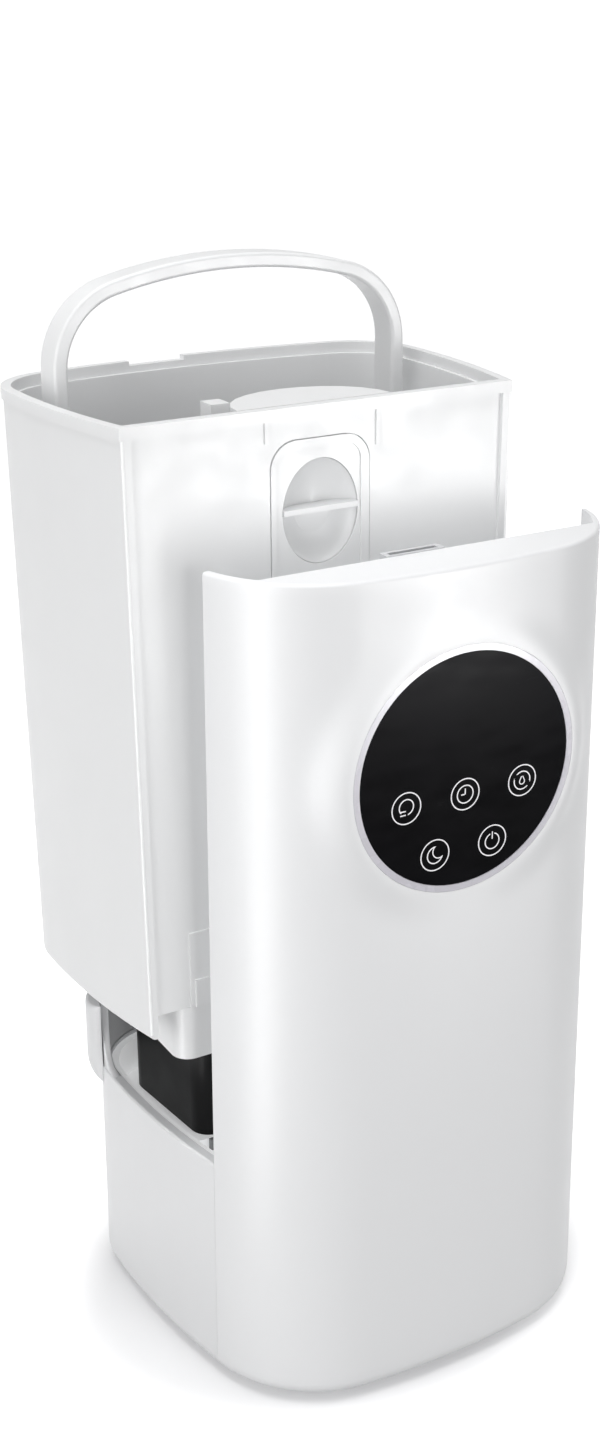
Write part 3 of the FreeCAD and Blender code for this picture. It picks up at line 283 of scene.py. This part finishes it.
def finish_mesh(name, bm, material, smooth_deg=35.0):
    me = bpy.data.meshes.new(name)
    bmesh.ops.recalc_face_normals(bm, faces=bm.faces)
    bm.to_mesh(me)
    bm.free()
    me.materials.append(material)
    for p in me.polygons:
        p.use_smooth = True
    ob = bpy.data.objects.new(name, me)
    bpy.context.scene.collection.objects.link(ob)
    bpy.context.view_layer.update()
    me.set_sharp_from_angle(angle=math.radians(smooth_deg))
    return ob


# ---------------------------------------------- front panel with a soft flare
def flare(x, y, z):
    """The skin swells forward round the display, and blends out softly."""
    r = math.hypot(x, z - DISC_Z)
    if r > 76.0 or y > -85.0:
        return y
    t = min(1.0, max(0.0, (76.0 - r) / (76.0 - 55.6)))
    w = t * t * (3.0 - 2.0 * t)
    w = w * w
    return y + (DISC_Y - 0.35 - y) * w


def panel_mesh():
    rows = []
    R = 8.0
    for i in range(9):
        h = R * (1.0 - math.cos(math.radians(90.0 * i / 9)))
        rows.append((FOOT + h, R - math.sqrt(max(0.0, R * R - (R - h) ** 2))))
    z = FOOT + R
    while z < TOP - 1.5 - 0.8:
        rows.append((z, 0.0))
        z += 1.6 if 222.0 < z < 386.0 else 4.0
    for i in range(5):
        a = math.radians(90.0 * i / 4)
        rows.append((TOP - 1.5 + 1.5 * math.sin(a), 1.5 - 1.5 * math.cos(a)))
    phis = column_phis()
    cols = [-1.0] + [-p for p in reversed(phis[1:])] + phis + [1.0]
    bm = bmesh.new()
    grid = []
    for ci, phi in enumerate(cols):
        edge = ci in (0, len(cols) - 1)
        side = -1.0 if phi < 0 else 1.0

        def at(off):
            p = seam_phi(off) if edge else abs(phi)
            x, y = plan_point(p, off)
            if y > SEAM_Y:
                y = SEAM_Y
            return side * x, y
        loop = []
        x, y = at(GROW * (1 - FOOT / TOP) - R)
        loop.append((x, SEAM_Y, FOOT))
        for z, inset in rows:
            x, y = at(GROW * (1 - z / TOP) - inset)
            loop.append((x, flare(x, y, z), z))
        xi, yi = at(-3.0)
        if yi < -80.0:
            loop.append((xi * 0.997, -80.0, TOP))
            loop.append((xi * 0.997, -80.0, TOP - 3.0))
        else:
            loop.append((xi, yi, TOP))
            loop.append((xi, yi, TOP - 3.0))
        for k in range(41):
            z = TOP - 3.0 - (TOP - 3.0 - FOOT - 3.5) * k / 40.0
            y2 = yi
            if yi < -85.0:
                y2 = flare(xi, yi - 3.0, z) + 3.0
            loop.append((xi, y2, z))
        loop.append((xi, SEAM_Y, FOOT + 3.5))
        grid.append([bm.verts.new((a * MM, b * MM, c * MM)) for a, b, c in loop])
    n = len(grid[0])
    for a, b in zip(grid[:-1], grid[1:]):
        for i in range(n):
            j = (i + 1) % n
            try:
                bm.faces.new((a[i], b[i], b[j], a[j]))
            except ValueError:
                pass
    bm.faces.new(grid[0])
    bm.faces.new(list(reversed(grid[-1])))
    bmesh.ops.remove_doubles(bm, verts=bm.verts, dist=2e-6)
    bmesh.ops.dissolve_degenerate(bm, dist=1e-6, edges=bm.edges)
    return bm


def cylinder_y(name, r, y0, y1, cx, cz, seg=160):
    bm = bmesh.new()
    ring = []
    for y in (y0, y1):
        ring.append([bm.verts.new(((cx + r * math.cos(2 * math.pi * i / seg)) * MM, y * MM,
                                   (cz + r * math.sin(2 * math.pi * i / seg)) * MM)) for i in range(seg)])
    for i in range(seg):
        j = (i + 1) % seg
        bm.faces.new((ring[0][i], ring[0][j], ring[1][j], ring[1][i]))
    bm.faces.new(list(reversed(ring[0])))
    bm.faces.new(ring[1])
    return finish_mesh(name, bm, MAT["panel_white"])


panel = finish_mesh("panel_skin", panel_mesh(), MAT["panel_white"], 30.0)
cutter = cylinder_y("panel_cutter", BEZEL_R, -120.0, -90.0, 0.0, DISC_Z)
mod = panel.modifiers.new("display_hole", "BOOLEAN")
mod.operation = "DIFFERENCE"
mod.solver = "EXACT"
mod.object = cutter
bpy.context.view_layer.update()
dg = bpy.context.evaluated_depsgraph_get()
cut = bpy.data.meshes.new_from_object(panel.evaluated_get(dg))
panel.modifiers.clear()
panel.data = cut
bpy.data.objects.remove(cutter)
for p in panel.data.polygons:
    p.use_smooth = True
panel.data.set_sharp_from_angle(angle=math.radians(30.0))
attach(panel, "base")
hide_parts("front_panel")


# ------------------------------- raised guard round the back of the base's rim
RIM_Z = 115.8


def around(phi, off):
    """Plan point for normals up to 360 degrees; past 180 it is the mirror side."""
    if phi > 180.0:
        x, y = plan_point(360.0 - phi, off)
        return x, y
    x, y = plan_point(phi, off)
    return -x, y


def guard_height(y):
    """The guard sweeps up out of the rim along the sides, then runs level."""
    t = min(1.0, max(0.0, (y - 30.0) / 17.5))
    return 0.25 + 33.0 * (1.0 - math.sqrt(max(0.0, 1.0 - t * t)))


def loft(name, columns, material, smooth=30.0):
    """Closed loops of points, skinned one to the next and capped at both ends."""
    bm = bmesh.new()
    grid = [[bm.verts.new((a * MM, b * MM, c * MM)) for a, b, c in col] for col in columns]
    n = len(grid[0])
    for a, b in zip(grid[:-1], grid[1:]):
        for i in range(n):
            j = (i + 1) % n
            bm.faces.new((a[i], b[i], b[j], a[j]))
    bm.faces.new(grid[0])
    bm.faces.new(list(reversed(grid[-1])))
    bmesh.ops.remove_doubles(bm, verts=bm.verts, dist=1e-6)
    return finish_mesh(name, bm, material, smooth)


g0 = GROW * (1 - RIM_Z / TOP)
cols = []
steps = 220
for i in range(steps + 1):
    phi = 90.6 + (360.0 - 2 * 90.6) * i / steps
    top = guard_height(around(phi, 0.0)[1])
    sect = [(-4.3, 0.06), (-4.3, max(0.1, top - 1.2))]
    for k in range(1, 5):
        a = math.radians(22.5 * k)
        sect.append((-4.3 + 1.2 * (1 - math.cos(a)), max(0.1, top - 1.2 + 1.2 * math.sin(a))))
    for k in range(0, 5):
        a = math.radians(90 - 22.5 * k)
        sect.append((-1.9 + 1.2 * math.cos(a), max(0.1, top - 1.2 + 1.2 * math.sin(a))))
    sect.append((-0.7, 0.06))
    col = []
    for off, h in sect:
        x, y = around(phi, g0 - 0.0078 * h + off)
        col.append((x, y, RIM_Z + h))
    cols.append(col)
guard = loft("rear_guard", cols, MAT["body_white"])
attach(guard, "base")


def corner_tab(name, mid):
    """Rounded pad that stands out from the guard at a rear corner."""
    tab = []
    n = 40
    for i in range(n + 1):
        u = -1.0 + 2.0 * i / n
        w = math.sqrt(max(0.0, 1.0 - abs(u) ** 3.2))
        phi = mid + 25.0 * u
        col = []
        for k in range(15):
            a = math.radians(90.0 * k / 14)
            z = 106.5 + 12.0 * (1 - math.cos(a))
            off = 0.12 + 6.8 * w * math.sin(a)
            x, y = around(phi, GROW * (1 - z / TOP) + off)
            col.append((x, y, z))
        for z in (124.0, 132.0, 140.0, 146.0):
            x, y = around(phi, GROW * (1 - z / TOP) + 0.12 + 6.8 * w)
            col.append((x, y, z))
        for k in range(1, 5):
            a = math.radians(22.5 * k)
            z = 146.0 + 2.6 * math.sin(a)
            x, y = around(phi, GROW * (1 - z / TOP) + 0.12 + max(0.0, 6.8 * w - 2.0 * (1 - math.cos(a))))
            col.append((x, y, z))
        for z in (148.6, 146.0, 132.0, 118.0, 108.0):
            x, y = around(phi, GROW * (1 - z / TOP) + 0.06)
            col.append((x, y, z))
        tab.append(col)
    ob = loft(name, tab, MAT["body_white"])
    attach(ob, "base")


corner_tab("rear_tab_left", 126.0)
corner_tab("rear_tab_right", 234.0)


# ------------------------------------------------ scooped bowl in the hatch
def hatch_bowl():
    lo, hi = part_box("hatch_plate")
    gl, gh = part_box("hatch_grip")
    cx = (gl[0] + gh[0]) / 2 / MM
    cz = (gl[2] + gh[2]) / 2 / MM - 1.0
    y0 = lo[1] / MM + 1.4
    a, b = 17.75, 22.15
    rings = []
    prof = [(1.0, 0.0)]
    for k in range(1, 22):
        r = 1.0 - k / 22.0
        prof.append((r, 7.9 * (1.0 - r ** 2.6) ** 0.75))
    prof.append((0.0, 7.9))
    bm = bmesh.new()
    seg = 96
    grid = []
    for r, d in prof:
        if r == 0.0:
            grid.append([bm.verts.new((cx * MM, (y0 + d) * MM, cz * MM))] * seg)
            continue
        ring = []
        for i in range(seg):
            t = 2 * math.pi * i / seg
            # the lower half is scooped a little deeper than the upper one
            k = 1.0 if math.sin(t) < 0 else 1.0 - 0.22 * math.sin(t)
            ring.append(bm.verts.new(((cx + a * r * math.cos(t)) * MM, (y0 + d * k) * MM, (cz + b * r * math.sin(t)) * MM)))
        grid.append(ring)
    back = []
    for i in range(seg):
        t = 2 * math.pi * i / seg
        back.append(bm.verts.new(((cx + a * math.cos(t)) * MM, (y0 + 8.05) * MM, (cz + b * math.sin(t)) * MM)))
    for r0, r1 in zip(grid[:-1], grid[1:]):
        for i in range(seg):
            j = (i + 1) % seg
            if r1[i] is r1[j]:
                bm.faces.new((r0[i], r0[j], r1[i]))
            else:
                bm.faces.new((r0[i], r0[j], r1[j], r1[i]))
    for i in range(seg):
        j = (i + 1) % seg
        bm.faces.new((grid[0][j], grid[0][i], back[i], back[j]))
    bm.faces.new(back)
    ob = finish_mesh("hatch_bowl", bm, MAT["tank_white"], 40.0)
    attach(ob, "hatch")


hatch_bowl()


# ------------------------------- fine beads down the tank's two front corners
def corner_bead(name, low, high, rad):
    cols = []
    for x, y, z in (low, high):
        cols.append([(x + rad * math.cos(math.radians(30 * k)), y + rad * math.sin(math.radians(30 * k)), z)
                     for k in range(12)])
    ob = loft(name, cols, BEAD_PAINTED_HIGHLIGHT, 60.0)
    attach(ob, "tank")


# the bead plastic is lighter than the tank and glows (glow=0.16): a painted highlight line down each front corner
BEAD_PAINTED_HIGHLIGHT = moulded("tank_bead_painted_highlight", (0.84, 0.845, 0.85), 0.01, 0.32, 0.04, 1200.0, 0.00001, glow=0.16)
corner_bead("corner_bead_left", (-119.3, -46.62, 183.0), (-121.85, -46.62, 444.0), 0.55)
corner_bead("corner_bead_right", (57.7, -46.62, 183.0), (60.25, -46.62, 444.0), 0.55)


# ----------------------------------------------------------- floor and lights
def stage_floor():
    bm = bmesh.new()
    pts = [(-1500, -1500), (1500, -1500), (1500, 1500), (-1500, 1500)]
    low = [bm.verts.new((x, y, 0.0)) for x, y in pts]
    bm.faces.new(low)
    # the far edge of the paper turns up, so the horizon stays pale
    high = [bm.verts.new((x, y, 60.0)) for x, y in pts]
    for k in range(4):
        n = (k + 1) % 4
        bm.faces.new((low[k], low[n], high[n], high[k]))
    m, nt, p, vec = new_material("floor_paint")
    tone = ramp(nt, noise(nt, vec, 3.0), [(0.3, (0.885, 0.885, 0.89)), (0.7, (0.90, 0.90, 0.905))])
    nt.links.new(tone, p.inputs["Base Color"])
    # the paper's glow fades out towards and under the product: a painted contact shadow round and beneath it
    mp = nt.nodes.new("ShaderNodeMapping")
    mp.inputs["Location"].default_value = (0.0125 / 0.118, 0.012 / 0.096, 0.0)
    mp.inputs["Scale"].default_value = (1 / 0.118, 1 / 0.096, 0.0)
    nt.links.new(vec, mp.inputs["Vector"])
    ln = nt.nodes.new("ShaderNodeVectorMath")
    ln.operation = "LENGTH"
    nt.links.new(mp.outputs["Vector"], ln.inputs[0])
    mr = nt.nodes.new("ShaderNodeMapRange")
    mr.interpolation_type = "SMOOTHSTEP"
    mr.inputs["From Min"].default_value = 0.95
    mr.inputs["From Max"].default_value = 1.4
    nt.links.new(ln.outputs["Value"], mr.inputs["Value"])
    glow = ramp(nt, mr.outputs["Result"], [(0.0, (0.12, 0.12, 0.125)), (1.0, (0.89, 0.89, 0.895))])
    nt.links.new(glow, p.inputs["Emission Color"])
    p.inputs["Emission Strength"].default_value = 0.86
    nt.links.new(spread(nt, noise(nt, vec, 30.0), 0.75, 0.9), p.inputs["Roughness"])
    p.inputs["Specular IOR Level"].default_value = 0.1
    ob = finish_mesh("floor", bm, m)
    # the paper reads white but throws no spill up the walls: the boxes model them
    ob.visible_diffuse = False
    return ob


stage_floor()

world = bpy.data.worlds.new("studio")
bpy.context.scene.world = world
world.use_nodes = True
bg = world.node_tree.nodes["Background"]
bg.inputs["Color"].default_value = (1.0, 1.0, 1.0, 1.0)
bg.inputs["Strength"].default_value = 0.34


def area(name, at, target, size, size_y, power, colour=(1, 1, 1)):
    li = bpy.data.lights.new(name, "AREA")
    li.shape = "RECTANGLE"
    li.size = size
    li.size_y = size_y
    li.energy = power
    li.color = colour
    ob = bpy.data.objects.new(name, li)
    bpy.context.scene.collection.objects.link(ob)
    d = Vector(target) - Vector(at)
    ob.matrix_world = Matrix.Translation(Vector(at)) @ d.to_track_quat("-Z", "Y").to_matrix().to_4x4()
    return ob


def gloss(*args):
    lamp = area(*args)
    lamp.visible_diffuse = False
    lamp.visible_camera = False
    return lamp


area("top_box", (-0.15, -0.05, 1.9), (0, 0, 0.2), 1.2, 1.2, 19)
area("left_box", (-1.6, -0.05, 0.55), (0, 0, 0.22), 0.7, 1.3, 6)
area("left_front_box", (-1.45, -0.85, 0.5), (0, 0, 0.22), 0.6, 1.2, 7)
area("front_box", (0.30, -1.9, 0.42), (0, 0, 0.10), 1.0, 1.0, 9.5)
# slim boxes that only draw the long soft highlights down the panel
gloss("left_strip", (-0.29, -0.15, 0.22), (-0.085, -0.09, 0.22), 0.035, 0.56, 0.8)
gloss("low_front", (0.46, -0.90, 0.14), (0.02, -0.10, 0.16), 0.26, 0.6, 12.0)

cam = bpy.data.cameras.new("photo_camera")
cam.sensor_fit = "AUTO"
cam.sensor_width = 36.0
cam.lens = 46.698
cam.clip_start = 0.02
cam.clip_end = 6000.0
cam.dof.use_dof = False
co = bpy.data.objects.new("photo_camera", cam)
bpy.context.scene.collection.objects.link(co)
right, up, back = (0.868456, -0.495715, -0.007197), (0.184549, 0.309774, 0.932728), (-0.460137, -0.811361, 0.360508)
pos = (-0.408494, -0.688810, 0.601813)
co.matrix_world = Matrix(((right[0], up[0], back[0], pos[0]), (right[1], up[1], back[1], pos[1]),
                          (right[2], up[2], back[2], pos[2]), (0, 0, 0, 1)))
bpy.context.scene.camera = co
bpy.context.scene.view_settings.view_transform = "Standard"
bpy.context.scene.view_settings.exposure = 0.0
